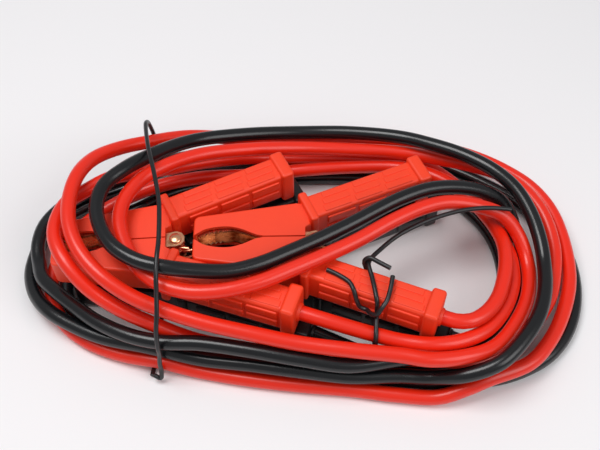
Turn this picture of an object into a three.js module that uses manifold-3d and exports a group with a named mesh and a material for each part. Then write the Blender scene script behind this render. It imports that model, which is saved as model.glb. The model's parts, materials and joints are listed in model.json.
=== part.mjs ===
// Car jumper cable, tied for storage. Millimetres, +Z up, the floor at z = 0.
// Two long leads, red and black, are wound into one oval bundle around their four spring clamps.
// A clamp lies on its side: its own frame has u along the jaws and handles, v across, z up.
import * as THREE from 'three'
import * as BufferGeometryUtils from 'three/addons/utils/BufferGeometryUtils.js'
import Module from 'manifold-3d'

const wasm = await Module()
wasm.setup()

// Fits
const gap = 0.3

// Leads
const cableDiameter = 9.8
const cableSides = 8
const cableStep = 17

// Clamp, seen from above
const jawTipHalf = 13
const jawRootHalf = 27.5
const jawRoot = 68
const jawEnd = 73.5
const jawSplit = 0.5
const tipRound = 4.5
const pivotAt = 80
const armAngle = 22.5
const armStartU = 76
const armStartV = 22.5
const armLength = 78.5
const armWidth = 19.2
const flangeLength = 9.4
const flangeWidth = 23
const collarLength = 6
const collarWidth = 24.5
const collarInset = 3

// Clamp, seen from the side
const clampHeight = 28
const armHeight = 24
const jawHeight = 21.2
const barRound = 3

// Grip bars on the outer side of a handle
const gripSegments = 3
const gripLength = 19
const gripPitch = 23
const gripStart = 10
const gripHeight = 6.6
const gripSpacing = 9.4
const gripProud = 1.1
const gripDepth = 4
const gripRows = [-0.5, 0.5]

// Jaw channels of thin sheet
const sheet = 1.2
const channelDepth = 5.5
const channelStart = 2.2
const cableChannelHeight = 16
const toothPitch = 3
const toothDepth = 1.3
const toothCount = 6
const earRadius = 6

// Pivot pin and spring
const pinRadius = 2.5
const pinHeadRadius = 4
const pinHeadHeight = 1.5
const pinSides = 14
const springWire = 1.2
const springTurns = 4
const springLeg = 9

// Tie wire with its plastic coat
const tieRadius = 1.5
const tieSides = 8
const tieStep = 7

// Levels that the ties follow: the upper clamps' underside and the top of their handles
const upperFloor = clampHeight + gap
const handleTop = upperFloor + (clampHeight + armHeight) / 2
const underHandle = upperFloor - 0.1
const overHandle = handleTop + tieRadius + 4 * gap

// Where each clamp lies: the middle of its jaw tip, its turn in degrees, its underside
const clampPlaces = {
  red_left: { x: -161.5, y: -12.5, turn: 4, z: upperFloor },
  red_right: { x: -70, y: -7.5, turn: 0.9, z: upperFloor },
  black_left: { x: -152.5, y: -12, turn: 4, z: 0 },
  black_right: { x: -61, y: -6.5, turn: 0.9, z: 0 }
}

// The red lead, from clamp to clamp, each point chosen by hand
const redRoute = [
  // from the left clamp, up the right side
  [0, -58, 42], [16, -63, 41], [31, -67, 39], [47, -71, 37], [63, -75, 36], [82, -78, 37], [101, -75, 36], [118, -66, 34],
  [132, -49, 31], [141, -28, 28], [143, -8, 26], [141, 8, 24], [138, 25, 19], [130, 43, 18],
  // back, to the left
  [114, 64, 17], [95, 81, 17], [70, 87, 17], [37, 90, 17], [0, 90, 18], [-37, 84, 25], [-71, 71, 35], [-96, 58, 43], [-114, 49, 50],
  // down the left over the jaws
  [-130, 40, 55], [-144, 29, 56], [-154, 16, 60], [-158, 1, 62], [-157, -15, 63], [-149, -31, 62], [-134, -46, 53], [-114, -55, 41],
  [-93, -61, 32],
  // along the front, under the others
  [-66, -67, 22], [-32, -71, 17], [0, -76, 16], [32, -77, 17], [62, -77, 16], [92, -78, 16], [112, -78, 14], [134, -68, 13],
  [153, -52, 15], [166, -34, 18],
  // up the right
  [172, -16, 20], [175, 5, 22], [171, 30, 26], [161, 47, 30], [146, 60, 33], [126, 69, 33], [101, 77, 32],
  // back, to the small loop
  [73, 83, 32], [36, 85, 33], [0, 83, 37], [-36, 74, 46], [-70, 61, 55], [-92, 46, 61], [-107, 32, 63], [-116, 15, 63], [-117, -3, 63],
  [-111, -21, 62], [-99, -40, 62], [-85, -50, 62],
  // diagonal over the clamps
  [-68, -55, 62], [-46, -54, 62], [-25, -48, 62], [-6, -39, 62], [14, -29, 62], [36, -17, 62], [62, 0, 62], [83, 12, 60],
  [100, 18, 57], [121, 19, 51], [138, 16, 44], [149, 7, 33], [154, -10, 25],
  // turned down the right
  [151, -33, 25], [140, -56, 28], [123, -76, 31], [102, -86, 36],
  // along the front, on top
  [80, -89, 38], [62, -86, 38], [31, -83, 39], [0, -79, 40], [-31, -74, 44], [-62, -68, 48], [-87, -61, 52], [-105, -55, 57],
  // up the left over the jaws
  [-124, -44, 64], [-138, -29, 68], [-147, -10, 70], [-150, 11, 70], [-148, 33, 68], [-141, 53, 61], [-127, 69, 53],
  // back, to the right
  [-108, 81, 46], [-81, 95, 36], [-37, 101, 26], [0, 103, 22], [38, 103, 22], [75, 103, 21], [105, 98, 20], [131, 90, 18],
  [152, 79, 16], [169, 63, 16], [180, 42, 16],
  // down the right on the outside
  [185, 14, 15], [184, -15, 14], [176, -40, 14], [163, -63, 15], [147, -80, 16], [120, -91, 16], [105, -96, 12], [88, -99, 6],
  // along the front on the floor
  [62, -97, 5], [32, -93, 5], [0, -90, 5], [-32, -86, 5], [-65, -80, 5], [-91, -75, 9], [-115, -69, 6], [-138, -60, 5],
  [-156, -47, 5], [-168, -30, 5], [-172, -10, 5],
  // up the left, hidden
  [-168, 12, 6], [-158, 30, 9], [-138, 46, 14], [-108, 59, 20],
  // back, to the right
  [-73, 69, 20], [-37, 73, 18], [0, 76, 20], [37, 79, 20], [74, 77, 22], [98, 67, 24], [115, 51, 27], [128, 31, 29],
  // down into the right clamp
  [135, 13, 32], [137, -2, 36], [136, -17, 38], [132, -33, 39], [126, -47, 40], [117, -58, 41], [107, -64, 42], [97, -64, 42],
  [89, -61, 42]
]

// The black lead, from clamp to clamp
const blackRoute = [
  // from the left clamp, up the right side
  [9, -57, 14], [22, -62, 12], [40, -68, 8], [62, -74, 6], [80, -77, 5], [93, -77, 5], [107, -74, 5], [124, -66, 5], [138, -53, 5],
  [148, -34, 5], [153, -14, 5], [154, 5, 5], [151, 24, 5], [143, 43, 5],
  // back, to the left
  [127, 63, 5], [105, 78, 5], [72, 88, 5], [36, 92, 5], [0, 92, 5], [-36, 91, 6], [-72, 86, 7], [-93, 80, 9], [-112, 73, 7], [-135, 64, 5],
  // down the left on the outside
  [-155, 54, 6], [-172, 42, 5], [-183, 27, 5], [-187, 10, 5], [-187, -6, 6], [-180, -25, 10], [-167, -41, 15], [-148, -53, 16],
  [-128, -62, 17], [-97, -70, 19],
  // along the front
  [-64, -77, 16], [-32, -82, 18], [0, -87, 19], [32, -90, 17], [63, -89, 16], [82, -90, 16], [103, -94, 27], [124, -89, 34],
  [141, -73, 36],
  // up the right, on top
  [153, -55, 36], [160, -35, 34], [163, -15, 32], [162, 3, 36], [157, 21, 42], [148, 38, 47], [134, 52, 50], [114, 67, 49],
  [93, 79, 46],
  // back, to the small loop
  [73, 89, 42], [37, 97, 38], [0, 98, 37], [-36, 92, 42], [-71, 80, 50], [-87, 68, 57], [-102, 52, 65], [-116, 36, 71], [-128, 21, 72],
  [-131, 3, 72], [-126, -14, 72], [-116, -29, 73],
  // diagonal over the clamps
  [-101, -39, 73], [-86, -43, 72], [-62, -43, 67], [-43, -41, 64], [-25, -35, 63], [-6, -25, 62], [13, -15, 62], [32, -4, 62],
  [66, 17, 62], [87, 27, 60], [109, 33, 54], [127, 35, 46], [141, 34, 36], [149, 23, 24],
  // turned down the right
  [149, 3, 16], [147, -18, 15], [144, -36, 16], [136, -51, 18], [121, -68, 22], [102, -79, 26], [85, -80, 26],
  // along the front, second layer
  [62, -83, 27], [31, -88, 28], [0, -85, 31], [-31, -80, 33], [-63, -75, 33], [-88, -73, 31], [-108, -68, 30], [-130, -57, 28],
  [-148, -43, 25], [-164, -29, 22], [-174, -18, 19],
  // up the left
  [-180, -3, 15], [-183, 12, 16], [-181, 29, 16], [-171, 45, 16], [-155, 58, 16], [-133, 69, 16], [-112, 80, 17], [-93, 90, 16],
  // back, to the right
  [-72, 98, 11], [-36, 102, 7], [0, 103, 5], [36, 103, 5], [72, 100, 5], [108, 92, 5], [138, 75, 5], [161, 57, 5], [178, 35, 5],
  [188, 12, 5],
  // down the right on the floor
  [190, -10, 5], [186, -33, 5], [177, -53, 5], [163, -69, 5], [146, -79, 5], [128, -85, 5], [108, -87, 5], [88, -88, 5],
  // along the front on the floor
  [62, -86, 5], [32, -82, 5], [0, -79, 5], [-32, -75, 5], [-66, -69, 6], [-95, -63, 9], [-125, -54, 6], [-150, -38, 5],
  [-160, -21, 5],
  // up the left, hidden
  [-160, 0, 5], [-154, 18, 5], [-140, 36, 6], [-115, 52, 7], [-94, 63, 9],
  // back, to the right
  [-72, 72, 7], [-36, 79, 6], [0, 81, 5], [36, 81, 5], [72, 77, 5], [98, 70, 5], [118, 56, 5], [132, 38, 5], [140, 18, 5],
  // down into the right clamp
  [142, -5, 5], [139, -22, 5], [132, -39, 5], [124, -52, 7], [115, -61, 10], [106, -63, 13], [98, -60, 14]
]

// The tie around the bundle's left end, from one cut end to the other
const coilTieRoute = [
  // a short end, then up the front
  [-94, -84, 7], [-90, -85, 4.5], [-89, -84, 8.5], [-89, -82.5, 13], [-89, -82, 20], [-88, -81, 30], [-88, -81, 38],
  [-88, -76, 50], [-87, -69, 60],
  // over the top
  [-87, -60, 68], [-87, -52, 76], [-87, -41, 80], [-87, -30, 80], [-88, -14, 80], [-90, 3, 79], [-95, 25, 78],
  [-102, 51, 75], [-107, 75, 68], [-108, 82, 65],
  // down the back
  [-108, 88, 59], [-107, 91, 48], [-106, 92, 38], [-104, 93, 25], [-101, 94, 12], [-98, 95, 5],
  // back along the floor, under the clamps
  [-96, 91, 2.2], [-95, 80, 1.7], [-94, 40, 1.7], [-93, 0, 1.7], [-94, -40, 1.7], [-95, -72, 1.8], [-96, -82, 2.6]
]

// The tie around the upper right clamp's handle and the lead beside it, from one cut end to the other
const clampTieRoute = [
  // a long end along the red lead
  [141, 15, 53], [130.5, 14.8, 54.8], [120, 13.8, 56], [107, 11.8, 56], [93, 8, 55], [78, 2, 53.5],
  [64, -6, handleTop - 2], [52, -17, handleTop - 2], [45, -26, handleTop],
  // over the handle and the lead, and under both
  [43.5, -32, overHandle], [45, -40, overHandle], [46.5, -50, overHandle], [47.5, -56.5, overHandle - 1.5],
  [48, -58.8, handleTop - 2], [48, -60.5, handleTop - 7], [47.5, -66, 45.8], [47.2, -71, 44], [47, -75.5, 42],
  [46.8, -77.8, 38], [46.8, -77.6, 33], [47, -74, 29.8], [47.2, -68, 29.2],
  [47.5, -58, underHandle], [46, -47, underHandle], [44, -37, underHandle],
  // up inside to the short end
  [42.9, -31, underHandle + 3], [42.9, -30.8, handleTop - 10], [42.5, -30.8, handleTop - 4],
  [41, -28.5, handleTop + 2], [44, -28, handleTop + 5], [50, -31.5, handleTop + 5], [57, -36, handleTop + 5]
]

// The second wire of that tie, from the red lead over the handle's side to its knot and cut end
const knotTieRoute = [
  [17, -35, overHandle - 0.8], [21, -37, overHandle - 0.8], [25, -39.5, overHandle - 0.8], [31, -44.5, overHandle - 0.7],
  [33.5, -50, overHandle - 1.2], [35.5, -54.2, handleTop - 4], [38, -56, handleTop - 9], [42, -58, handleTop - 9],
  [44, -62.5, handleTop - 6], [47.5, -65, handleTop - 3], [50.5, -62.5, handleTop + 1], [53.5, -58.5, overHandle],
  [55.5, -53, overHandle + 1], [57, -47, overHandle + 2], [58, -42, overHandle + 2.5]
]

// Geometry helpers

function solidOf(geometry) {
  const bare = geometry.clone()
  bare.deleteAttribute('normal')
  bare.deleteAttribute('uv')
  const merged = BufferGeometryUtils.mergeVertices(bare, 1e-4)
  return new wasm.Manifold(new wasm.Mesh({
    numProp: 3,
    vertProperties: new Float32Array(merged.attributes.position.array),
    triVerts: new Uint32Array(merged.index.array)
  }))
}

function geometryOf(solid) {
  const mesh = solid.getMesh()
  const geometry = new THREE.BufferGeometry()
  geometry.setAttribute('position', new THREE.BufferAttribute(mesh.vertProperties, 3))
  geometry.setIndex(new THREE.BufferAttribute(mesh.triVerts, 1))
  geometry.computeVertexNormals()
  return geometry
}

function polygon(points) {
  return new THREE.Shape(points.map(([u, v]) => new THREE.Vector2(u, v)))
}

// A flat plate of the given outline, its edges rounded by the given amount
function plate(shape, bottom, top, round = 0) {
  const geometry = new THREE.ExtrudeGeometry(shape, {
    depth: top - bottom - 2 * round,
    bevelEnabled: round > 0,
    bevelThickness: round,
    bevelSize: round,
    bevelOffset: -round,
    bevelSegments: 1
  })
  return geometry.translate(0, 0, bottom + round)
}

function upright(radius, bottom, top) {
  const geometry = new THREE.CylinderGeometry(radius, radius, top - bottom, pinSides)
  geometry.rotateX(Math.PI / 2)
  return geometry.translate(pivotAt, 0, (bottom + top) / 2)
}

function rectangle(width, height, middleX, middleY) {
  const x = width / 2
  const y = height / 2
  return polygon([[-x, -y], [x, -y], [x, y], [-x, y]].map(([cornerX, cornerY]) => [middleX + cornerX, middleY + cornerY]))
}

function roundedRectangle(width, height, round) {
  const x = width / 2 - round
  const y = height / 2 - round
  const quarter = Math.PI / 2
  const shape = new THREE.Shape()
  shape.absarc(-x, -y, round, 2 * quarter, 3 * quarter)
  shape.absarc(x, -y, round, 3 * quarter, 4 * quarter)
  shape.absarc(x, y, round, 0, quarter)
  shape.absarc(-x, y, round, quarter, 2 * quarter)
  shape.closePath()
  return shape
}

// A bar of the given section that runs along a handle's axis from one distance to another
function barAlongArm(shape, from, to, round, side) {
  const geometry = new THREE.ExtrudeGeometry(shape, {
    depth: to - from - 2 * round,
    bevelEnabled: round > 0,
    bevelThickness: round,
    bevelSize: round,
    bevelOffset: -round,
    bevelSegments: 1,
    curveSegments: 2
  })
  geometry.translate(0, 0, from + round)
  const turn = side * THREE.MathUtils.degToRad(armAngle)
  const across = new THREE.Vector3(-Math.sin(turn), Math.cos(turn), 0)
  const along = new THREE.Vector3(Math.cos(turn), Math.sin(turn), 0)
  const place = new THREE.Matrix4().makeBasis(across, new THREE.Vector3(0, 0, 1), along)
  place.setPosition(armStartU, side * armStartV, clampHeight / 2)
  return geometry.applyMatrix4(place)
}

// Clamp. side is 1 for the free arm and -1 for the arm that the lead goes into.

// The mouth's edge on one arm, from the tip to where the arms meet behind it
const mouth = [[0, 1.2], [2, 2.4], [6.5, 5.6], [13, 7.6], [20, 8.4], [26, 8], [33, 5.6], [39, 2.6], [46, jawSplit]]

function jawOutline(side) {
  const corner = tipRound * Math.SQRT1_2
  const points = [
    ...mouth,
    [jawEnd, jawSplit],
    [jawEnd, channelDepth + 2],
    [jawEnd + 4, channelDepth + 4],
    [jawEnd + 2, jawRootHalf - 1],
    [jawRoot, jawRootHalf],
    [tipRound, jawTipHalf + tipRound],
    [tipRound - corner, jawTipHalf + corner],
    [0, jawTipHalf]
  ]
  return polygon(points.map(([u, v]) => [u, side * v]))
}

// The back of the metal channel, moved outwards by some more
function channelBack(side, more) {
  const points = [[jawEnd + 1, jawSplit], [46, jawSplit], [33, 5.2], [26, 7.2], [13, 6.6], [channelStart - more, 2.4]]
  return points.map(([u, v]) => [u, side * (v + channelDepth + more)])
}

// The free arm's channel nests inside the other one
function channelBottom(side) {
  const nested = side > 0 ? sheet + gap : 0
  return (clampHeight - cableChannelHeight) / 2 + nested
}

function armCover(side) {
  const jawBottom = (clampHeight - jawHeight) / 2
  const jaw = solidOf(plate(jawOutline(side), jawBottom, clampHeight - jawBottom, 1.2))
  const arm = solidOf(barAlongArm(roundedRectangle(armWidth, armHeight, barRound), 0, armLength + 1, 0, side))
  const flangeShape = roundedRectangle(flangeWidth, clampHeight, barRound)
  const flange = solidOf(barAlongArm(flangeShape, armLength, armLength + flangeLength, 1.2, side))
  const collarShape = roundedRectangle(collarWidth, clampHeight, barRound)
  const collar = solidOf(barAlongArm(collarShape, -collarInset, collarLength - collarInset, 1.2, side))
  let solid = jaw.add(arm).add(flange).add(collar)
  const gripMiddle = side * (armWidth / 2 + gripProud - gripDepth / 2)
  for (const row of gripRows) {
    const shape = rectangle(gripDepth, gripHeight, gripMiddle, row * gripSpacing)
    for (let segment = 0; segment < gripSegments; segment += 1) {
      const from = gripStart + segment * gripPitch
      solid = solid.add(solidOf(barAlongArm(shape, from, from + gripLength, 0, side)))
    }
  }
  const bottom = channelBottom(side) - gap
  const pocketEdge = [...channelBack(side, gap), [channelStart - gap, -side * 2], [jawEnd + 1, -side * 2]]
  const pocket = solidOf(plate(polygon(pocketEdge), bottom, clampHeight - bottom))
  return geometryOf(solid.subtract(pocket))
}

// The lug that carries the pin: a neck from the channel and a round end
function lugOutline(side) {
  const inner = jawSplit + gap
  const neck = jawEnd - 10
  const last = Math.PI * 2 - (Math.PI - Math.asin(inner / earRadius))
  const steps = 8
  const points = [[neck, inner], [neck, earRadius]]
  for (let step = 0; step <= steps; step += 1) {
    const angle = Math.PI / 2 - (step / steps) * (Math.PI / 2 + last)
    points.push([pivotAt + earRadius * Math.cos(angle), earRadius * Math.sin(angle)])
  }
  return polygon(points.map(([u, v]) => [u, side * v]))
}

function jawChannel(side) {
  const bottom = channelBottom(side)
  const top = clampHeight - bottom
  const inner = []
  for (let tooth = 0; tooth < toothCount; tooth += 1) {
    const u = channelStart + 0.6 + tooth * toothPitch
    const edge = 2.4 + 5.4 * Math.sin(Math.min(u / 18, 1) * Math.PI / 2)
    inner.push([u, side * edge], [u + toothPitch / 2, side * (edge + 0.4 - toothDepth)])
  }
  const straight = jawSplit + gap
  inner.push([26, side * 7.9], [33, side * 5.6], [39, side * 2.8], [46, side * straight], [jawEnd - 2, side * straight])
  const back = channelBack(side, 0)
  back[0][0] = jawEnd - 2
  const bar = solidOf(plate(polygon([...inner, ...back]), bottom, top))
  const hollowEdge = channelBack(side, -sheet)
  hollowEdge[hollowEdge.length - 1][0] = -1
  const hollowOutline = polygon([...hollowEdge, [-1, -side * 2], [jawEnd + 1, -side * 2]])
  let solid = bar.subtract(solidOf(plate(hollowOutline, bottom + sheet, top - sheet)))
  for (const level of [bottom, top - sheet]) {
    solid = solid.add(solidOf(plate(lugOutline(side), level, level + sheet)))
  }
  return geometryOf(solid.subtract(solidOf(upright(pinRadius + gap, 0, clampHeight))))
}

function pivotPin() {
  const bottom = channelBottom(-1) - gap
  const top = clampHeight - bottom
  const shank = solidOf(upright(pinRadius, bottom - pinHeadHeight / 2, top + pinHeadHeight / 2))
  const lower = solidOf(upright(pinHeadRadius, bottom - pinHeadHeight, bottom))
  const upper = solidOf(upright(pinHeadRadius, top, top + pinHeadHeight))
  return geometryOf(shank.add(lower).add(upper))
}

function torsionSpring() {
  const half = springTurns * springWire
  const middle = clampHeight / 2
  const coil = solidOf(upright(pinRadius + gap + 2 * springWire, middle - half, middle + half))
  const bore = solidOf(upright(pinRadius + gap, 0, clampHeight))
  let solid = coil
  for (const side of [1, -1]) {
    const leg = new THREE.CylinderGeometry(springWire, springWire, springLeg, 6)
    leg.rotateZ(-Math.PI / 2)
    leg.translate(springLeg / 2, 0, 0)
    leg.rotateZ(side * THREE.MathUtils.degToRad(armAngle / 2))
    leg.translate(pivotAt, side * (pinRadius + gap + springWire), middle + side * (half - springWire))
    solid = solid.add(solidOf(leg))
  }
  return geometryOf(solid.subtract(bore))
}

// Leads and ties

function tubeAlong(points, diameter, sides, step) {
  const path = new THREE.CatmullRomCurve3(points.map(([x, y, z]) => new THREE.Vector3(x, y, z)), false, 'centripetal')
  path.arcLengthDivisions = points.length * 12
  const section = []
  for (let side = 0; side < sides; side += 1) {
    const angle = (side / sides) * Math.PI * 2
    section.push([Math.cos(angle) * diameter / 2, Math.sin(angle) * diameter / 2])
  }
  const steps = Math.round(path.getLength() / step)
  return new THREE.ExtrudeGeometry(polygon(section), { steps, extrudePath: path, bevelEnabled: false })
}

// Materials
const paint = (color, roughness, metalness = 0) => new THREE.MeshStandardMaterial({ color, roughness, metalness })
const redVinyl = () => paint('#d8281a', 0.45)
const redGrip = () => paint('#e23a24', 0.5)
const blackVinyl = () => paint('#17181a', 0.4)
const blackGrip = () => paint('#1b1c1e', 0.5)
const copperPlate = () => paint('#b4703c', 0.3, 1)
const tieCoat = () => paint('#141416', 0.45)

// Assembly
const cable = new THREE.Group()

function addMesh(parent, name, geometry, material) {
  const mesh = new THREE.Mesh(geometry, material)
  mesh.name = name
  parent.add(mesh)
}

for (const [name, place] of Object.entries(clampPlaces)) {
  const clamp = new THREE.Group()
  clamp.position.set(place.x, place.y, place.z)
  clamp.rotation.z = THREE.MathUtils.degToRad(place.turn)
  const grip = name.startsWith('red') ? redGrip : blackGrip
  addMesh(clamp, `${name}_free_arm_cover`, armCover(1), grip())
  addMesh(clamp, `${name}_cable_arm_cover`, armCover(-1), grip())
  addMesh(clamp, `${name}_free_arm_jaw`, jawChannel(1), copperPlate())
  addMesh(clamp, `${name}_cable_arm_jaw`, jawChannel(-1), copperPlate())
  addMesh(clamp, `${name}_pivot_pin`, pivotPin(), copperPlate())
  addMesh(clamp, `${name}_spring`, torsionSpring(), copperPlate())
  cable.add(clamp)
}

addMesh(cable, 'red_cable', tubeAlong(redRoute, cableDiameter, cableSides, cableStep), redVinyl())
addMesh(cable, 'black_cable', tubeAlong(blackRoute, cableDiameter, cableSides, cableStep), blackVinyl())
addMesh(cable, 'coil_tie', tubeAlong(coilTieRoute, 2 * tieRadius, tieSides, tieStep), tieCoat())
addMesh(cable, 'clamp_tie', tubeAlong(clampTieRoute, 2 * tieRadius, tieSides, tieStep), tieCoat())
addMesh(cable, 'knot_tie', tubeAlong(knotTieRoute, 2 * tieRadius, tieSides, tieStep), tieCoat())

// The origin is under the middle of the clamps and ties, without the leads
const layout = new THREE.Box3()
cable.updateMatrixWorld(true)
cable.traverse((part) => {
  if (part.isMesh && !part.name.endsWith('_cable')) layout.expandByObject(part, true)
})
const middle = layout.getCenter(new THREE.Vector3())
cable.position.set(-middle.x, -middle.y, 0)

export default cable
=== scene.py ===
"""A car jumper cable, wound around its four spring clamps and tied, on a pale floor."""

import json
import logging
import math
from dataclasses import dataclass, field
from enum import Enum
from typing import ClassVar

import bmesh
import bpy
from mathutils import Matrix, Vector


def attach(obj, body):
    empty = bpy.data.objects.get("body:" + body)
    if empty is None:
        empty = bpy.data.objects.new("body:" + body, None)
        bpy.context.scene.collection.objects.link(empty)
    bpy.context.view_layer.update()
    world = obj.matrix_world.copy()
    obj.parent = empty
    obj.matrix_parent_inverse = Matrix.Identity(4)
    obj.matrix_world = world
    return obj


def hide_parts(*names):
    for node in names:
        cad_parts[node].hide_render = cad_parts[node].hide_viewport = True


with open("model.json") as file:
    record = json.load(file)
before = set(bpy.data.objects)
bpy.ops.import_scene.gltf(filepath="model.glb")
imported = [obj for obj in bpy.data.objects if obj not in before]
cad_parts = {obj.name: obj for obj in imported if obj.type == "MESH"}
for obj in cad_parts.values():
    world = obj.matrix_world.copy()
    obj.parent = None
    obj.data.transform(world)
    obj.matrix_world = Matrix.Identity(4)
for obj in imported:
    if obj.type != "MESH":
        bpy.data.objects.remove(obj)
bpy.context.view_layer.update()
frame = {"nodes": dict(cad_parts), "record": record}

MM = 0.001
LOG = logging.getLogger("jumper_cable")


class Level(Enum):
    """The two layers in which the clamps lie."""

    FLOOR = 0.0
    UPPER = 28.3


class Arm(Enum):
    """The two arms of a clamp; the value is the side of its axis that the arm is on."""

    FREE = 1
    CABLE = -1


def linear(colour: str) -> tuple[float, float, float, float]:
    """Turns an sRGB hex colour into linear values.

    Args:
        colour: Six hex digits, with a leading hash.

    Returns:
        Red, green, blue and alpha, linear.
    """
    values = [int(colour[start:start + 2], 16) / 255 for start in (1, 3, 5)]
    channels = [value / 12.92 if value <= 0.04045 else ((value + 0.055) / 1.055) ** 2.4 for value in values]
    return (channels[0], channels[1], channels[2], 1.0)


def add_node(tree: bpy.types.NodeTree, kind: str, settings: dict | None = None,
             links: dict | None = None) -> bpy.types.Node:
    """Adds a node to a material's tree.

    Args:
        tree: The node tree.
        kind: The node's type name.
        settings: Values by input name, or by attribute name where the node has such an attribute.
        links: Output sockets by the name or number of the input that they go into.

    Returns:
        The new node.
    """
    node = tree.nodes.new(kind)
    for name, value in (settings or {}).items():
        if hasattr(node, name):
            setattr(node, name, value)
        else:
            node.inputs[name].default_value = value
    for name, socket in (links or {}).items():
        tree.links.new(socket, node.inputs[name])
    return node


@dataclass(frozen=True)
class MouldedVinyl:
    """Plasticised PVC, moulded or extruded: an even colour with a soft sheen and a faint waxy mottle.

    The mottle is a slight change of colour and gloss. The skin is a fine bump that breaks up the highlights:
    the mould's real grain is about 0.2 mm, and it is drawn coarser so that it shows.
    """

    name: str
    colour: str
    deep_colour: str
    roughness: float
    mottle_mm: float = 14.0
    skin_mm: float = 0.7
    skin_height_mm: float = 0.03
    skin_strength: float = 0.6
    gloss_below: float = 0.06
    gloss_above: float = 0.07
    ior: float = 1.53

    def material(self) -> bpy.types.Material:
        """Builds the vinyl's material.

        Returns:
            The material.
        """
        made = bpy.data.materials.new(self.name)
        made.use_nodes = True
        tree = made.node_tree
        shader = tree.nodes["Principled BSDF"]
        place = add_node(tree, "ShaderNodeTexCoord").outputs["Object"]
        mottle = add_node(tree, "ShaderNodeTexNoise",
                          {"Scale": 1 / (self.mottle_mm * MM), "Detail": 3.0, "Roughness": 0.6},
                          {"Vector": place})
        mix = add_node(tree, "ShaderNodeMix", {"data_type": "RGBA"}, {"Factor": mottle.outputs["Fac"]})
        mix.inputs["A"].default_value = linear(self.colour)
        mix.inputs["B"].default_value = linear(self.deep_colour)
        tree.links.new(mix.outputs["Result"], shader.inputs["Base Color"])
        gloss = add_node(tree, "ShaderNodeMapRange",
                         {"To Min": self.roughness - self.gloss_below,
                          "To Max": self.roughness + self.gloss_above},
                         {"Value": mottle.outputs["Fac"]})
        tree.links.new(gloss.outputs["Result"], shader.inputs["Roughness"])
        skin = add_node(tree, "ShaderNodeTexNoise", {"Scale": 1 / (self.skin_mm * MM), "Detail": 2.0},
                        {"Vector": place})
        bump = add_node(tree, "ShaderNodeBump",
                        {"Strength": self.skin_strength, "Distance": self.skin_height_mm * MM},
                        {"Height": skin.outputs["Fac"]})
        tree.links.new(bump.outputs["Normal"], shader.inputs["Normal"])
        shader.inputs["IOR"].default_value = self.ior
        return made


@dataclass(frozen=True)
class CopperPlate:
    """Pressed steel sheet with a copper plate: bright where it was rubbed, browner and duller in patches.

    Real scratches are finer than 0.1 mm. They are drawn coarser, as a slight waviness that the gloss shows.
    """

    name: str
    bright: str
    brown: str
    brown_below: float = 0.3
    bright_above: float = 0.5
    dull_roughness: float = 0.38
    bright_roughness: float = 0.2
    patch_mm: float = 7.0
    scratch_mm: float = 0.9
    scratch_depth_mm: float = 0.04
    scratch_strength: float = 0.4

    def material(self) -> bpy.types.Material:
        """Builds the plate's material.

        Returns:
            The material.
        """
        made = bpy.data.materials.new(self.name)
        made.use_nodes = True
        tree = made.node_tree
        shader = tree.nodes["Principled BSDF"]
        shader.inputs["Metallic"].default_value = 1.0
        place = add_node(tree, "ShaderNodeTexCoord").outputs["Object"]
        patches = add_node(tree, "ShaderNodeTexNoise", {"Scale": 1 / (self.patch_mm * MM), "Detail": 4.0},
                           {"Vector": place})
        ramp = add_node(tree, "ShaderNodeValToRGB", None, {"Fac": patches.outputs["Fac"]})
        ramp.color_ramp.elements[0].position = self.brown_below
        ramp.color_ramp.elements[0].color = linear(self.brown)
        ramp.color_ramp.elements[1].position = self.bright_above
        ramp.color_ramp.elements[1].color = linear(self.bright)
        tree.links.new(ramp.outputs["Color"], shader.inputs["Base Color"])
        gloss = add_node(tree, "ShaderNodeMapRange",
                         {"To Min": self.dull_roughness, "To Max": self.bright_roughness},
                         {"Value": patches.outputs["Fac"]})
        tree.links.new(gloss.outputs["Result"], shader.inputs["Roughness"])
        scratches = add_node(tree, "ShaderNodeTexNoise",
                             {"Scale": 1 / (self.scratch_mm * MM), "Detail": 2.0}, {"Vector": place})
        bump = add_node(tree, "ShaderNodeBump",
                        {"Strength": self.scratch_strength, "Distance": self.scratch_depth_mm * MM},
                        {"Height": scratches.outputs["Fac"]})
        tree.links.new(bump.outputs["Normal"], shader.inputs["Normal"])
        return made


@dataclass(frozen=True)
class PaintedBoard:
    """The floor: a smooth painted board, nearly white, with no pattern of its own."""

    name: str
    colour: str
    roughness: float = 0.6

    def material(self) -> bpy.types.Material:
        """Builds the board's material.

        Returns:
            The material.
        """
        made = bpy.data.materials.new(self.name)
        made.use_nodes = True
        shader = made.node_tree.nodes["Principled BSDF"]
        shader.inputs["Base Color"].default_value = linear(self.colour)
        shader.inputs["Roughness"].default_value = self.roughness
        return made


@dataclass
class Finishes:
    """Every material of the set, made once."""

    red_grip: bpy.types.Material = field(
        default_factory=MouldedVinyl("red_moulded_vinyl", "#fb431b", "#f43a14", 0.46).material)
    black_grip: bpy.types.Material = field(
        default_factory=MouldedVinyl("black_moulded_vinyl", "#121315", "#0d0e10", 0.42).material)
    red_lead: bpy.types.Material = field(
        default_factory=MouldedVinyl("red_extruded_vinyl", "#f22c12", "#e8240c", 0.3,
                                     30.0, 1.6, 0.05).material)
    black_lead: bpy.types.Material = field(
        default_factory=MouldedVinyl("black_extruded_vinyl", "#131417", "#0d0e10", 0.25,
                                     30.0, 1.6, 0.05).material)
    tie: bpy.types.Material = field(
        default_factory=MouldedVinyl("tie_wire_coat", "#1a1a1d", "#121214", 0.36,
                                     8.0, 1.0, 0.04).material)
    copper: bpy.types.Material = field(
        default_factory=CopperPlate("copper_plated_steel", "#ffc096", "#a4552c").material)
    board: bpy.types.Material = field(
        default_factory=PaintedBoard("pale_painted_board", "#f4f2f3").material)


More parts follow.
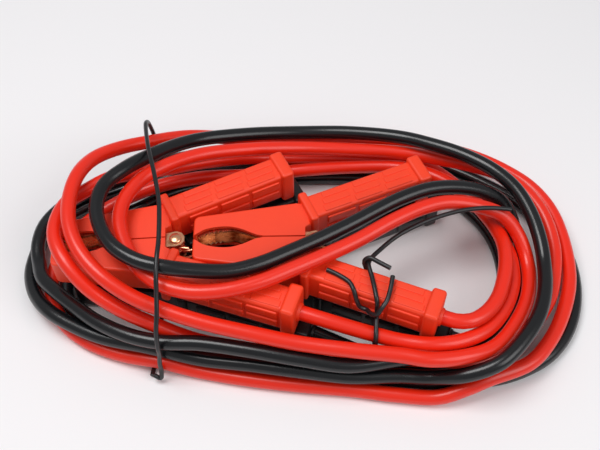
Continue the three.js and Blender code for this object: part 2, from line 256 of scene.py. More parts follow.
class Workshop:
    """Turns outlines and boxes, in millimetres, into mesh objects in the row's frame, in metres."""

    SHARP_EDGE = math.radians(50)

    @staticmethod
    def finish_mesh(name: str, shape: bmesh.types.BMesh, place: Matrix,
                    material: bpy.types.Material) -> bpy.types.Object:
        """Makes an object of a shape.

        Args:
            name: The object's name.
            shape: The shape, in its own millimetres; it is freed.
            place: From those millimetres to the row's, in millimetres.
            material: Its material.

        Returns:
            The object, at the row's origin.
        """
        bmesh.ops.recalc_face_normals(shape, faces=shape.faces)
        bmesh.ops.transform(shape, matrix=Matrix.Scale(MM, 4) @ place, verts=shape.verts)
        mesh = bpy.data.meshes.new(name)
        shape.to_mesh(mesh)
        shape.free()
        mesh.shade_smooth()
        mesh.set_sharp_from_angle(angle=Workshop.SHARP_EDGE)
        mesh.materials.append(material)
        made = bpy.data.objects.new(name, mesh)
        bpy.context.scene.collection.objects.link(made)
        weighted = made.modifiers.new("even_shading", "WEIGHTED_NORMAL")
        weighted.keep_sharp = True
        return made

    @staticmethod
    def rounded_box(shape: bmesh.types.BMesh, low: Vector, high: Vector, round_mm: float, place: Matrix,
                    segments: int = 3) -> None:
        """Adds a box with rounded edges to a shape.

        Args:
            shape: The shape that gets the box.
            low: The box's lowest corner.
            high: The box's highest corner.
            round_mm: The radius of its edges.
            place: Where the box goes.
            segments: Faces across a rounded edge.
        """
        box = bmesh.new()
        bmesh.ops.create_cube(box, size=1.0)
        size = high - low
        middle = (high + low) / 2
        sized = Matrix.Translation(middle) @ Matrix.Diagonal((*size, 1.0))
        bmesh.ops.transform(box, matrix=sized, verts=box.verts)
        bmesh.ops.bevel(box, geom=box.edges, offset=round_mm, offset_type="OFFSET", segments=segments,
                        profile=0.5, affect="EDGES")
        bmesh.ops.transform(box, matrix=place, verts=box.verts)
        Workshop.add(shape, box)

    @staticmethod
    def add(shape: bmesh.types.BMesh, other: bmesh.types.BMesh) -> None:
        """Adds one shape to another and frees it.

        Args:
            shape: The shape that grows.
            other: The shape that is added.
        """
        spare = bpy.data.meshes.new("spare")
        other.to_mesh(spare)
        other.free()
        shape.from_mesh(spare)
        bpy.data.meshes.remove(spare)

    @staticmethod
    def wire(name: str, points: list[Vector], radius_mm: float, material: bpy.types.Material,
             around: int = 5) -> bpy.types.Object:
        """Makes a round wire along points that lie close together.

        Args:
            name: The object's name.
            points: The points, in millimetres, in the row's frame.
            radius_mm: The wire's radius.
            material: Its material.
            around: The roundness of the section.

        Returns:
            The curve object, with closed ends.
        """
        curve = bpy.data.curves.new(name, "CURVE")
        curve.dimensions = "3D"
        curve.bevel_depth = radius_mm * MM
        curve.bevel_resolution = around
        curve.use_fill_caps = True
        spline = curve.splines.new("POLY")
        spline.points.add(len(points) - 1)
        for target, point in zip(spline.points, points):
            target.co = (*(point * MM), 1.0)
        spline.use_smooth = True
        curve.materials.append(material)
        made = bpy.data.objects.new(name, curve)
        bpy.context.scene.collection.objects.link(made)
        return made


def smooth_route(points: list[tuple[float, float, float]], spacing_mm: float) -> list[Vector]:
    """Runs a centripetal Catmull-Rom curve through points.

    Args:
        points: The chosen points, in millimetres.
        spacing_mm: About how far apart the returned points lie.

    Returns:
        Points along the curve, the chosen ones among them.
    """
    knots = [Vector(point) for point in points]
    ends = [2 * knots[0] - knots[1], *knots, 2 * knots[-1] - knots[-2]]
    route = []
    for before, start, end, after in zip(ends, ends[1:], ends[2:], ends[3:]):
        first = max((start - before).length, 1e-6) ** 0.5
        middle = max((end - start).length, 1e-6) ** 0.5
        last = max((after - end).length, 1e-6) ** 0.5
        out = ((start - before) / first - (end - before) / (first + middle) + (end - start) / middle) * middle
        into = ((end - start) / middle - (after - start) / (middle + last) + (after - end) / last) * middle
        steps = max(1, round((end - start).length / spacing_mm))
        for step in range(steps):
            t = step / steps
            bend = 2 * start - 2 * end + out + into
            turn = -3 * start + 3 * end - 2 * out - into
            route.append(bend * t ** 3 + turn * t ** 2 + out * t + start)
    route.append(knots[-1])
    return route


# The red lead in millimetres, from clamp to clamp
RED_ROUTE = [
    # from the left clamp, up the right side
    (0, -58, 42), (16, -63, 41), (31, -67, 39), (47, -71, 37), (63, -75, 36), (82, -78, 37), (101, -75, 36),
    (118, -66, 34), (132, -49, 31), (141, -28, 28), (143, -8, 26), (141, 8, 24), (138, 25, 19),
    (130, 43, 18),
    # back, to the left
    (114, 64, 17), (95, 81, 17), (70, 87, 17), (37, 90, 17), (0, 90, 18), (-37, 84, 25), (-71, 71, 35),
    (-96, 58, 43), (-114, 49, 50),
    # down the left over the jaws
    (-130, 40, 55), (-144, 29, 56), (-154, 16, 60), (-158, 1, 62), (-157, -15, 63), (-149, -31, 62),
    (-134, -46, 53), (-114, -55, 41), (-93, -61, 32),
    # along the front, under the others
    (-66, -67, 22), (-32, -71, 17), (0, -76, 16), (32, -77, 17), (62, -77, 16), (92, -78, 16),
    (112, -78, 14), (134, -68, 13), (153, -52, 15), (166, -34, 18),
    # up the right
    (172, -16, 20), (175, 5, 22), (171, 30, 26), (161, 47, 30), (146, 60, 33), (126, 69, 33), (101, 77, 32),
    # back, to the small loop
    (73, 83, 32), (36, 85, 33), (0, 83, 37), (-36, 74, 46), (-70, 61, 55), (-92, 46, 61), (-107, 32, 63),
    (-116, 15, 63), (-117, -3, 63), (-111, -21, 62), (-99, -40, 62), (-85, -50, 62),
    # diagonal over the clamps
    (-68, -55, 62), (-46, -54, 62), (-25, -48, 62), (-6, -39, 62), (14, -29, 62), (36, -17, 62),
    (62, 0, 62), (83, 12, 60), (100, 18, 57), (121, 19, 51), (138, 16, 44), (149, 7, 33), (154, -10, 25),
    # turned down the right
    (151, -33, 25), (140, -56, 28), (123, -76, 31), (102, -86, 36),
    # along the front, on top
    (80, -89, 38), (62, -86, 38), (31, -83, 39), (0, -79, 40), (-31, -74, 44), (-62, -68, 48),
    (-87, -61, 52), (-105, -55, 57),
    # up the left over the jaws
    (-124, -44, 64), (-138, -29, 68), (-147, -10, 70), (-150, 11, 70), (-148, 33, 68), (-141, 53, 61),
    (-127, 69, 53),
    # back, to the right
    (-108, 81, 46), (-81, 95, 36), (-37, 101, 26), (0, 103, 22), (38, 103, 22), (75, 103, 21),
    (105, 98, 20), (131, 90, 18), (152, 79, 16), (169, 63, 16), (180, 42, 16),
    # down the right on the outside
    (185, 14, 15), (184, -15, 14), (176, -40, 14), (163, -63, 15), (147, -80, 16), (120, -91, 16),
    (105, -96, 12), (88, -99, 6),
    # along the front on the floor
    (62, -97, 5), (32, -93, 5), (0, -90, 5), (-32, -86, 5), (-65, -80, 5), (-91, -75, 9), (-115, -69, 6),
    (-138, -60, 5), (-156, -47, 5), (-168, -30, 5), (-172, -10, 5),
    # up the left, hidden
    (-168, 12, 6), (-158, 30, 9), (-138, 46, 14), (-108, 59, 20),
    # back, to the right
    (-73, 69, 20), (-37, 73, 18), (0, 76, 20), (37, 79, 20), (74, 77, 22), (98, 67, 24), (115, 51, 27),
    (128, 31, 29),
    # down into the right clamp
    (135, 13, 32), (137, -2, 36), (136, -17, 38), (132, -33, 39), (126, -47, 40), (117, -58, 41),
    (107, -64, 42), (97, -64, 42), (89, -61, 42),
]

# The black lead, from clamp to clamp
BLACK_ROUTE = [
    # from the left clamp, up the right side
    (9, -57, 14), (22, -62, 12), (40, -68, 8), (62, -74, 6), (80, -77, 5), (93, -77, 5), (107, -74, 5),
    (124, -66, 5), (138, -53, 5), (148, -34, 5), (153, -14, 5), (154, 5, 5), (151, 24, 5), (143, 43, 5),
    # back, to the left
    (127, 63, 5), (105, 78, 5), (72, 88, 5), (36, 92, 5), (0, 92, 5), (-36, 91, 6), (-72, 86, 7),
    (-93, 80, 9), (-112, 73, 7), (-135, 64, 5),
    # down the left on the outside
    (-155, 54, 6), (-172, 42, 5), (-183, 27, 5), (-187, 10, 5), (-187, -6, 6), (-180, -25, 10),
    (-167, -41, 15), (-148, -53, 16), (-128, -62, 17), (-97, -70, 19),
    # along the front
    (-64, -77, 16), (-32, -82, 18), (0, -87, 19), (32, -90, 17), (63, -89, 16), (82, -90, 16),
    (103, -94, 27), (124, -89, 34), (141, -73, 36),
    # up the right, on top
    (153, -55, 36), (160, -35, 34), (163, -15, 32), (162, 3, 36), (157, 21, 42), (148, 38, 47),
    (134, 52, 50), (114, 67, 49), (93, 79, 46),
    # back, to the small loop
    (73, 89, 42), (37, 97, 38), (0, 98, 37), (-36, 92, 42), (-71, 80, 50), (-87, 68, 57), (-102, 52, 65),
    (-116, 36, 71), (-128, 21, 72), (-131, 3, 72), (-126, -14, 72), (-116, -29, 73),
    # diagonal over the clamps
    (-101, -39, 73), (-86, -43, 72), (-62, -43, 67), (-43, -41, 64), (-25, -35, 63), (-6, -25, 62),
    (13, -15, 62), (32, -4, 62), (66, 17, 62), (87, 27, 60), (109, 33, 54), (127, 35, 46), (141, 34, 36),
    (149, 23, 24),
    # turned down the right
    (149, 3, 16), (147, -18, 15), (144, -36, 16), (136, -51, 18), (121, -68, 22), (102, -79, 26),
    (85, -80, 26),
    # along the front, second layer
    (62, -83, 27), (31, -88, 28), (0, -85, 31), (-31, -80, 33), (-63, -75, 33), (-88, -73, 31),
    (-108, -68, 30), (-130, -57, 28), (-148, -43, 25), (-164, -29, 22), (-174, -18, 19),
    # up the left
    (-180, -3, 15), (-183, 12, 16), (-181, 29, 16), (-171, 45, 16), (-155, 58, 16), (-133, 69, 16),
    (-112, 80, 17), (-93, 90, 16),
    # back, to the right
    (-72, 98, 11), (-36, 102, 7), (0, 103, 5), (36, 103, 5), (72, 100, 5), (108, 92, 5), (138, 75, 5),
    (161, 57, 5), (178, 35, 5), (188, 12, 5),
    # down the right on the floor
    (190, -10, 5), (186, -33, 5), (177, -53, 5), (163, -69, 5), (146, -79, 5), (128, -85, 5), (108, -87, 5),
    (88, -88, 5),
    # along the front on the floor
    (62, -86, 5), (32, -82, 5), (0, -79, 5), (-32, -75, 5), (-66, -69, 6), (-95, -63, 9), (-125, -54, 6),
    (-150, -38, 5), (-160, -21, 5),
    # up the left, hidden
    (-160, 0, 5), (-154, 18, 5), (-140, 36, 6), (-115, 52, 7), (-94, 63, 9),
    # back, to the right
    (-72, 72, 7), (-36, 79, 6), (0, 81, 5), (36, 81, 5), (72, 77, 5), (98, 70, 5), (118, 56, 5),
    (132, 38, 5), (140, 18, 5),
    # down into the right clamp
    (142, -5, 5), (139, -22, 5), (132, -39, 5), (124, -52, 7), (115, -61, 10), (106, -63, 13),
    (98, -60, 14),
]

# The tie around the bundle's left end, from one cut end to the other
COIL_TIE_ROUTE = [
    # a short end, then up the front
    (-94, -84, 7), (-90, -85, 4.5), (-89, -84, 8.5), (-89, -82.5, 13), (-89, -82, 20), (-88, -81, 30),
    (-88, -81, 38), (-88, -76, 50), (-87, -69, 60),
    # over the top
    (-87, -60, 68), (-87, -52, 76), (-87, -41, 80), (-87, -30, 80), (-88, -14, 80), (-90, 3, 79),
    (-95, 25, 78), (-102, 51, 75), (-107, 75, 68), (-108, 82, 65),
    # down the back
    (-108, 88, 59), (-107, 91, 48), (-106, 92, 38), (-104, 93, 25), (-101, 94, 12), (-98, 95, 5),
    # back along the floor, under the clamps
    (-96, 91, 2.2), (-95, 80, 1.7), (-94, 40, 1.7), (-93, 0, 1.7), (-94, -40, 1.7), (-95, -72, 1.8),
    (-96, -82, 2.6),
]

# The tie around the upper right clamp's handle and the lead beside it
CLAMP_TIE_ROUTE = [
    # a long end along the red lead
    (141, 15, 53), (130.5, 14.8, 54.8), (120, 13.8, 56), (107, 11.8, 56), (93, 8, 55), (78, 2, 53.5),
    (64, -6, 52.3), (52, -17, 52.3), (45, -26, 54.3),
    # over the handle and the lead, and under both
    (43.5, -32, 57), (45, -40, 57), (46.5, -50, 57), (47.5, -56.5, 55.5), (48, -58.8, 52.3),
    (48, -60.5, 47.3), (47.5, -66, 45.8), (47.2, -71, 44), (47, -75.5, 42), (46.8, -77.8, 38),
    (46.8, -77.6, 33), (47, -74, 29.8), (47.2, -68, 29.2), (47.5, -58, 28.2), (46, -47, 28.2),
    (44, -37, 28.2),
    # up inside to the short end
    (42.9, -31, 31.2), (42.9, -30.8, 44.3), (42.5, -30.8, 50.3), (41, -28.5, 56.3), (44, -28, 59.3),
    (50, -31.5, 59.3), (57, -36, 59.3),
]

# The second wire of that tie, from the red lead to its knot and cut end
KNOT_TIE_ROUTE = [
    (17, -35, 56.2), (21, -37, 56.2), (25, -39.5, 56.2), (31, -44.5, 56.3), (33.5, -50, 55.8),
    (35.5, -54.2, 50.3), (38, -56, 45.3), (42, -58, 45.3), (44, -62.5, 48.3), (47.5, -65, 51.3),
    (50.5, -62.5, 55.3), (53.5, -58.5, 57), (55.5, -53, 58), (57, -47, 59), (58, -42, 59.5),
]


@dataclass(frozen=True)
class ClampSizes:
    """A clamp's sizes in millimetres. u runs from the jaw tip to the handles, v across, z up."""

    tip_half: float = 13.0
    root_half: float = 27.5
    jaw_root: float = 68.0
    jaw_end: float = 73.5
    split: float = 0.5
    tip_round: float = 4.5
    tip_flatness: float = 0.98
    height: float = 28.0
    arm_height: float = 24.0
    jaw_height: float = 21.2
    jaw_round: float = 1.5
    lip_round: float = 0.5
    pocket_start: float = 1.9
    pocket_depth: float = 5.8
    pocket_height: float = 16.6
    pivot_at: float = 80.0
    arm_angle: float = math.radians(22.5)
    arm_start_u: float = 76.0
    arm_start_v: float = 22.5
    arm_length: float = 78.5
    arm_width: float = 19.2
    arm_round: float = 2.6
    arm_cut: float = 2.0
    flange_length: float = 9.4
    flange_width: float = 23.0
    flange_round: float = 2.2
    collar_width: float = 24.5
    collar_length: float = 6.0
    collar_inset: float = 3.0
    collar_round: float = 1.8
    channel_height: float = 16.0
    gap: float = 0.3
    pin_radius: float = 2.5
    pin_head_radius: float = 4.0
    pin_head_height: float = 1.5
    spring_wire: float = 1.2
    spring_turns: int = 4
    spring_leg: float = 7.5
    spring_slack: float = 0.35
    spring_fill: float = 0.95
    spring_start: float = math.radians(-78)
    spring_open: float = math.radians(24)
    spring_leg_tilt: float = 0.2
    neck_radius: float = 6.4
    neck_length: float = 2.2
    neck_taper: float = 0.7
    neck_overlap: float = 0.4
    neck_round: float = 0.5


@dataclass(frozen=True)
class GripSizes:
    """The pattern of a handle's raised bars, in millimetres."""

    segments: int = 3
    length: float = 20.8
    pitch: float = 23.0
    start: float = 10.0
    side_height: float = 6.6
    side_spacing: float = 9.4
    side_proud: float = 1.1
    side_round: float = 0.9
    top_width: float = 4.7
    top_spacing: float = 5.5
    top_proud: float = 0.55
    top_length: float = 19.2
    top_stagger: float = 1.5
    top_round: float = 0.5
    root: float = 2.5


@dataclass(frozen=True)
class ClampPlace:
    """Where a clamp lies in the drawing: the middle of its jaw tip, its turn and its layer."""

    x: float
    y: float
    turn: float
    level: Level

    def matrix(self) -> Matrix:
        """The move from the clamp's own frame to the drawing."""
        spot = Matrix.Translation((self.x, self.y, self.level.value))
        return spot @ Matrix.Rotation(math.radians(self.turn), 4, "Z")

    def point(self, u: float, v: float, z: float = 0.0) -> Vector:
        """A point of the clamp's own frame in the drawing."""
        return self.matrix() @ Vector((u, v, z))


CLAMP_PLACES = {
    "red_left": ClampPlace(-161.5, -12.5, 4, Level.UPPER),
    "red_right": ClampPlace(-70, -7.5, 0.9, Level.UPPER),
    "black_left": ClampPlace(-152.5, -12, 4, Level.FLOOR),
    "black_right": ClampPlace(-61, -6.5, 0.9, Level.FLOOR),
}


def layout_shift() -> Vector:
    """Works out the move from the drawing to the row's frame, from a hinge that both have.

    Returns:
        The move, in millimetres.
    """
    hinge = next(j for j in frame["record"]["behaviour"]["joints"] if j["name"] == "red_left_opening")
    pivot = CLAMP_PLACES["red_left"].point(ClampSizes().pivot_at, 0)
    return Vector((hinge["pos_m"][0] / MM - pivot.x, hinge["pos_m"][1] / MM - pivot.y, 0))


SHIFT = layout_shift()


@dataclass
class Clamp:
    """One spring clamp: two vinyl-covered arms, their plated jaws, the pin and the spring."""

    RIM_ANGLE: ClassVar[float] = 0.7
    STEPS_A_TURN: ClassVar[int] = 18
    WELD_MM: ClassVar[float] = 0.01

    name: str
    grip: bpy.types.Material
    copper: bpy.types.Material
    sizes: ClampSizes = field(default_factory=ClampSizes)
    bars: GripSizes = field(default_factory=GripSizes)

    @property
    def place(self) -> Matrix:
        """From the clamp's own frame to the row's, in millimetres."""
        return Matrix.Translation(SHIFT) @ CLAMP_PLACES[self.name].matrix()

    def body(self, arm: Arm) -> str:
        """The body that an arm belongs to."""
        return f"{self.name}_free_arm" if arm is Arm.FREE else "cable_set"

    def arm_frame(self, arm: Arm) -> Matrix:
        """From a handle's own frame to the clamp's: x across and outwards, y up from its middle, z along.

        Args:
            arm: The arm.

        Returns:
            The move.
        """
        turn = arm.value * self.sizes.arm_angle
        across = Vector((-math.sin(turn), math.cos(turn), 0)) * arm.value
        along = Vector((math.cos(turn), math.sin(turn), 0))
        spot = Vector((self.sizes.arm_start_u, arm.value * self.sizes.arm_start_v, self.sizes.height / 2))
        rows = zip(across, Vector((0, 0, 1)), along, spot)
        return Matrix([*[list(row) for row in rows], [0, 0, 0, 1]])

    def mouth(self) -> list[tuple[float, float]]:
        """Draws the edge of one lip, from the tip backwards.

        Returns:
            Its points, in u and v.
        """
        size = self.sizes
        lip = [(0, 1.2), (size.pocket_start, 2.3), (4, 3.9), (6.5, 5.6), (9.5, 6.8), (13, 7.6), (17, 8.2),
               (21, 8.4), (25, 8.1), (29, 7.1), (33, 5.6), (36, 4.1), (39, 2.6), (42, 1.4), (46, size.split)]
        return [*lip, (size.jaw_end, size.split)]

    def outer_edge(self) -> list[tuple[float, float]]:
        """Draws the jaw cover's edge outside the mouth, from its back end round to the tip.

        Returns:
            Its points, in u and v.
        """
        size = self.sizes
        edge = [(size.jaw_end, 7.5), (size.jaw_end + 4, 9.5), (size.jaw_end + 2, size.root_half - 1),
                (size.jaw_root, size.root_half)]
        for step in range(5):
            angle = math.radians(90 + step * 22.5)
            edge.append((size.tip_round * (1 + math.cos(angle)),
                         size.tip_half + size.tip_round * math.sin(angle) * size.tip_flatness))
        return edge

    def jaw_cover(self, arm: Arm) -> bmesh.types.BMesh:
        """Builds the vinyl cover of one jaw: a thick shell, open towards the other jaw.

        Args:
            arm: The arm.

        Returns:
            The cover, in the clamp's frame.
        """
        size = self.sizes
        shape = bmesh.new()
        low = (size.height - size.jaw_height) / 2
        levels = {"top": size.height - low, "bottom": low}
        pocket = {"top": (size.height + size.pocket_height) / 2,
                  "bottom": (size.height - size.pocket_height) / 2}

        def corner(point: tuple[float, float], level: float) -> bmesh.types.BMVert:
            """Adds one vertex."""
            return shape.verts.new((point[0], arm.value * point[1], level))

        lip = self.mouth()
        outside = self.outer_edge()
        rim = {key: [corner(p, z) for p in lip] for key, z in levels.items()}
        wall = {key: [corner(p, z) for p in outside] for key, z in levels.items()}
        inner = {key: [corner(p, z) for p in lip[1:]] for key, z in pocket.items()}
        deep = [(p[0], p[1] + size.pocket_depth) for p in lip[1:]]
        back = {key: [corner(p, z) for p in deep] for key, z in pocket.items()}
        for key in ("top", "bottom"):
            shape.faces.new(rim[key] + wall[key])
            for i in range(len(inner[key]) - 1):
                shape.faces.new((rim[key][i + 1], rim[key][i + 2], inner[key][i + 1], inner[key][i]))
                shape.faces.new((inner[key][i], inner[key][i + 1], back[key][i + 1], back[key][i]))
        for i in range(len(back["top"]) - 1):
            shape.faces.new((back["top"][i], back["top"][i + 1], back["bottom"][i + 1], back["bottom"][i]))
        shape.faces.new((inner["top"][0], back["top"][0], back["bottom"][0], inner["bottom"][0]))
        shape.faces.new((rim["top"][0], rim["top"][1], inner["top"][0], inner["bottom"][0], rim["bottom"][1],
                         rim["bottom"][0]))
        shape.faces.new((rim["top"][-1], inner["top"][-1], back["top"][-1], back["bottom"][-1],
                         inner["bottom"][-1], rim["bottom"][-1], wall["bottom"][0], wall["top"][0]))
        ring = {key: [*wall[key], rim[key][0]] for key in wall}
        for i in range(len(ring["top"]) - 1):
            shape.faces.new((ring["top"][i], ring["top"][i + 1], ring["bottom"][i + 1], ring["bottom"][i]))
        bmesh.ops.recalc_face_normals(shape, faces=shape.faces)
        soft = [shape.edges.get(pair) for chain in ring.values() for pair in zip(chain, chain[1:])]
        lips = [shape.edges.get(pair) for chain in rim.values() for pair in zip(chain, chain[1:])]
        for edges, round_mm in ((soft, size.jaw_round), (lips, size.lip_round)):
            live = [edge for edge in edges if edge is not None and edge.is_valid]
            bmesh.ops.bevel(shape, geom=live, offset=round_mm, offset_type="OFFSET", segments=3, profile=0.5,
                            affect="EDGES", clamp_overlap=True)
        return shape

    def handle(self, arm: Arm, shape: bmesh.types.BMesh) -> None:
        """Adds an arm's handle with its collar, flange, side bars and top pads.

        Args:
            arm: The arm.
            shape: The shape that grows, in the clamp's frame.
        """
        size, bars, frame_of_arm = self.sizes, self.bars, self.arm_frame(arm)
        half, tall = size.arm_width / 2, size.arm_height / 2

        def block(x: tuple[float, float], y: tuple[float, float], z: tuple[float, float],
                  round_mm: float) -> None:
            """Adds one rounded block in the handle's frame."""
            low, high = Vector((x[0], y[0], z[0])), Vector((x[1], y[1], z[1]))
            Workshop.rounded_box(shape, low, high, round_mm, frame_of_arm)

        end = size.arm_length + size.flange_length
        block((-half, half), (-tall, tall), (0, end - size.arm_cut), size.arm_round)
        wide = size.flange_width / 2
        full = (-size.height / 2, size.height / 2)
        block((-wide, wide), full, (size.arm_length, end), size.flange_round)
        wide = size.collar_width / 2
        ahead = -size.collar_inset
        block((-wide, wide), full, (ahead, ahead + size.collar_length), size.collar_round)
        for segment in range(bars.segments):
            start = bars.start + segment * bars.pitch
            for row in (-0.5, 0.5):
                middle = row * bars.side_spacing
                high = (middle - bars.side_height / 2, middle + bars.side_height / 2)
                run = (start, start + bars.length)
                block((half - bars.root, half + bars.side_proud), high, run, bars.side_round)
                block((-half - bars.side_proud, -half + bars.root), high, run, bars.side_round)
            for row in (-1, 0, 1):
                ahead = start + (bars.length - bars.top_length) / 2 + bars.top_stagger * row
                across = (row * bars.top_spacing - bars.top_width / 2,
                          row * bars.top_spacing + bars.top_width / 2)
                for side in (1, -1):
                    high = sorted((side * (tall - bars.root), side * (tall + bars.top_proud)))
                    block(across, tuple(high), (ahead, ahead + bars.top_length), bars.top_round)

    def lead_neck(self, shape: bmesh.types.BMesh) -> None:
        """Adds the short neck at the flange, through which the lead goes in.

        Args:
            shape: The shape that grows, in the clamp's frame.
        """
        size = self.sizes
        neck = bmesh.new()
        bmesh.ops.create_cone(neck, cap_ends=True, segments=32, radius1=size.neck_radius,
                              radius2=size.neck_radius - size.neck_taper, depth=size.neck_length)
        along = size.arm_length + size.flange_length + size.neck_length / 2 - size.neck_overlap
        bmesh.ops.transform(neck, matrix=self.arm_frame(Arm.CABLE) @ Matrix.Translation((0, 0, along)),
                            verts=neck.verts)
        rings = [edge for edge in neck.edges if edge.is_manifold and edge.calc_face_angle() > self.RIM_ANGLE]
        bmesh.ops.bevel(neck, geom=rings, offset=size.neck_round, offset_type="OFFSET", segments=3,
                        profile=0.5, affect="EDGES")
        Workshop.add(shape, neck)

    def cover(self, arm: Arm) -> None:
        """Makes one arm's whole vinyl cover.

        Args:
            arm: The arm.
        """
        shape = self.jaw_cover(arm)
        self.handle(arm, shape)
        if arm is Arm.CABLE:
            self.lead_neck(shape)
        node = f"{self.name}_{arm.name.lower()}_arm_cover"
        made = Workshop.finish_mesh(f"{self.name}_{arm.name.lower()}_grip", shape, self.place, self.grip)
        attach(made, self.body(arm))
        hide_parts(node)
        f"{self.name.split('_')[0]}_grip"

    def jaw(self, arm: Arm) -> None:
        """Gives one plated jaw its finish; its sheet and teeth are the frame's own.

        Args:
            arm: The arm.
        """
        node = frame["nodes"][f"{self.name}_{arm.name.lower()}_arm_jaw"]
        dress(node, self.copper)

    def pin(self) -> None:
        """Makes the rivet of the hinge, with a low dome on each head."""
        size = self.sizes
        reach = (size.height - size.channel_height) / 2 - size.gap
        top = size.height - reach
        crown = top + size.pin_head_height
        rim = size.pin_head_radius - 0.2
        profile = [(0, crown), (1.6, crown - 0.1), (2.9, crown - 0.5), (rim, top + 0.6),
                   (size.pin_head_radius, top + 0.2), (rim, top), (size.pin_radius, top)]
        profile += [(radius, size.height - z) for radius, z in reversed(profile)]
        shape = bmesh.new()
        points = [shape.verts.new((size.pivot_at + radius, 0, z)) for radius, z in profile]
        edges = [shape.edges.new(pair) for pair in zip(points, points[1:])]
        bmesh.ops.spin(shape, geom=[*points, *edges], cent=(size.pivot_at, 0, 0), axis=(0, 0, 1),
                       angle=2 * math.pi, steps=28, use_duplicate=False)
        bmesh.ops.remove_doubles(shape, verts=shape.verts, dist=self.WELD_MM)
        made = Workshop.finish_mesh(f"{self.name}_rivet", shape, self.place, self.copper)
        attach(made, "cable_set")
        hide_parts(f"{self.name}_pivot_pin")

    def spring(self) -> None:
        """Makes the wound spring, with a leg towards each handle."""
        size = self.sizes
        radius = size.pin_radius + size.spring_slack + size.spring_wire
        middle = size.height / 2
        rise = size.spring_turns * size.spring_wire * 2 - 2 * size.spring_wire
        steps = self.STEPS_A_TURN * size.spring_turns
        sweep = size.spring_turns * 2 * math.pi - size.spring_open
        coil = []
        for step in range(steps + 1):
            angle = size.spring_start - sweep * step / steps
            level = middle + rise * (0.5 - step / steps)
            coil.append(Vector((size.pivot_at + radius * math.cos(angle), radius * math.sin(angle), level)))
        ahead = size.spring_leg * math.cos(size.spring_leg_tilt)
        aside = size.spring_leg * math.sin(size.spring_leg_tilt)
        first = coil[0] + Vector((ahead, -aside, 0))
        last = coil[-1] + Vector((ahead, aside, 0))
        points = [self.place @ point for point in (first, *coil, last)]
        made = Workshop.wire(f"{self.name}_coil_spring", points, size.spring_wire * size.spring_fill,
                             self.copper, 3)
        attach(made, "cable_set")
        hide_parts(f"{self.name}_spring")

    def build(self) -> None:
        """Makes every piece of the clamp."""
        for arm in Arm:
            self.cover(arm)
            self.jaw(arm)
        self.pin()
        self.spring()
        LOG.info("%s: covers, jaws, rivet and spring", self.name)


def dress(node: bpy.types.Object, material: bpy.types.Material) -> None:
    """Gives a node of the frame a finish.

    Args:
        node: The node's object.
        material: The finish.
    """
    for slot in node.material_slots:
        slot.material = material


@dataclass
class Lead:
    """One insulated lead, from its left clamp to its right clamp."""

    colour: str
    route: list[tuple[float, float, float]]
    material: bpy.types.Material
    diameter: float = 9.8
    spacing: float = 4.0

    def build(self) -> None:
        points = [point + SHIFT for point in smooth_route(self.route, self.spacing)]
        made = Workshop.wire(f"{self.colour}_lead", points, self.diameter / 2, self.material, 9)
        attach(made, "cable_set")
        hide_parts(f"{self.colour}_cable")


@dataclass
class Tie:
    """A coated tie wire, bent by hand around what it holds."""

    name: str
    node: str
    route: list[tuple[float, float, float]]
    material: bpy.types.Material
    radius: float = 1.5
    spacing: float = 1.5

    def build(self) -> None:
        """Makes the tie as one closed length of wire."""
        points = [point + SHIFT for point in smooth_route(self.route, self.spacing)]
        made = Workshop.wire(self.name, points, self.radius, self.material, 4)
        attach(made, "cable_set")
        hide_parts(self.node)
        LOG.info("%s: %d points", self.name, len(points))


@dataclass(frozen=True)
class Lamp:
    """One soft square lamp that shines on the object: its place and side in metres, and its watts."""

    name: str
    spot: tuple[float, float, float]
    size: float
    watts: float

    def hang(self) -> None:
        """Hangs the lamp."""
        data = bpy.data.lights.new(self.name, "AREA")
        data.shape = "SQUARE"
        data.size = self.size
        data.energy = self.watts
        made = bpy.data.objects.new(self.name, data)
        made.location = self.spot
        made.rotation_euler = (Vector(self.spot)).to_track_quat("Z", "Y").to_euler()
        bpy.context.scene.collection.objects.link(made)


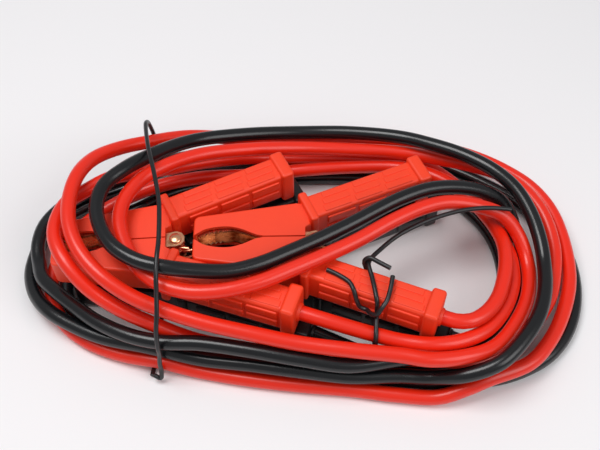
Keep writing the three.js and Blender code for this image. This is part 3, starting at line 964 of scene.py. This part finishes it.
@dataclass
class Studio:
    """The photograph's camera, its floor and its soft white light."""

    board: bpy.types.Material
    lamps: tuple[Lamp, ...] = (Lamp("key", (-0.42, 0.02, 1.35), 0.7, 11.0),
                               Lamp("fill", (0.9, -0.6, 1.0), 0.9, 7.0))
    sky: str = "#fbfcff"
    sky_strength: float = 0.35
    floor_reach: float = 6.0
    elevation: float = math.radians(54)
    distance: float = 590.0
    target: tuple[float, float, float] = (0.0, 0.0, 56.0)
    focal_px: float = 900.0
    image_width_px: float = 600.0
    sensor_mm: float = 36.0

    def camera(self) -> None:
        """Places the camera."""
        data = bpy.data.cameras.new("camera")
        data.sensor_width = self.sensor_mm
        data.lens = self.focal_px / self.image_width_px * self.sensor_mm
        data.clip_start = 0.01
        made = bpy.data.objects.new("camera", data)
        back = Vector((0, -math.cos(self.elevation), math.sin(self.elevation))) * self.distance
        made.location = (Vector(self.target) + SHIFT + back) * MM
        made.rotation_euler = (math.pi / 2 - self.elevation, 0, 0)
        bpy.context.scene.collection.objects.link(made)
        bpy.context.scene.camera = made

    def floor(self) -> None:
        """Lays the floor."""
        mesh = bpy.data.meshes.new("floor")
        reach = self.floor_reach
        mesh.from_pydata([(-reach, -reach, 0), (reach, -reach, 0), (reach, reach, 0), (-reach, reach, 0)], [],
                         [(0, 1, 2, 3)])
        mesh.materials.append(self.board)
        made = bpy.data.objects.new("floor", mesh)
        bpy.context.scene.collection.objects.link(made)

    def light(self) -> None:
        """Sets the lamps and the even white surroundings."""
        bpy.context.scene.view_settings.view_transform = "Standard"
        world = bpy.context.scene.world or bpy.data.worlds.new("studio")
        bpy.context.scene.world = world
        world.use_nodes = True
        sky = world.node_tree.nodes["Background"]
        sky.inputs["Color"].default_value = linear(self.sky)
        sky.inputs["Strength"].default_value = self.sky_strength
        for lamp in self.lamps:
            lamp.hang()

    def build(self) -> None:
        """Sets up the whole studio."""
        self.camera()
        self.floor()
        self.light()


def main() -> None:
    """Builds the set, piece by piece."""
    logging.basicConfig(level=logging.INFO, format="%(message)s")
    finishes = Finishes()
    Studio(finishes.board).build()
    Lead("red", RED_ROUTE, finishes.red_lead).build()
    Lead("black", BLACK_ROUTE, finishes.black_lead).build()
    for name in CLAMP_PLACES:
        grip = finishes.red_grip if name.startswith("red") else finishes.black_grip
        Clamp(name, grip, finishes.copper).build()
    Tie("bundle_tie", "coil_tie", COIL_TIE_ROUTE, finishes.tie).build()
    Tie("handle_tie", "clamp_tie", CLAMP_TIE_ROUTE, finishes.tie).build()
    Tie("handle_tie_knot", "knot_tie", KNOT_TIE_ROUTE, finishes.tie).build()


if __name__ == "__main__":
    main()
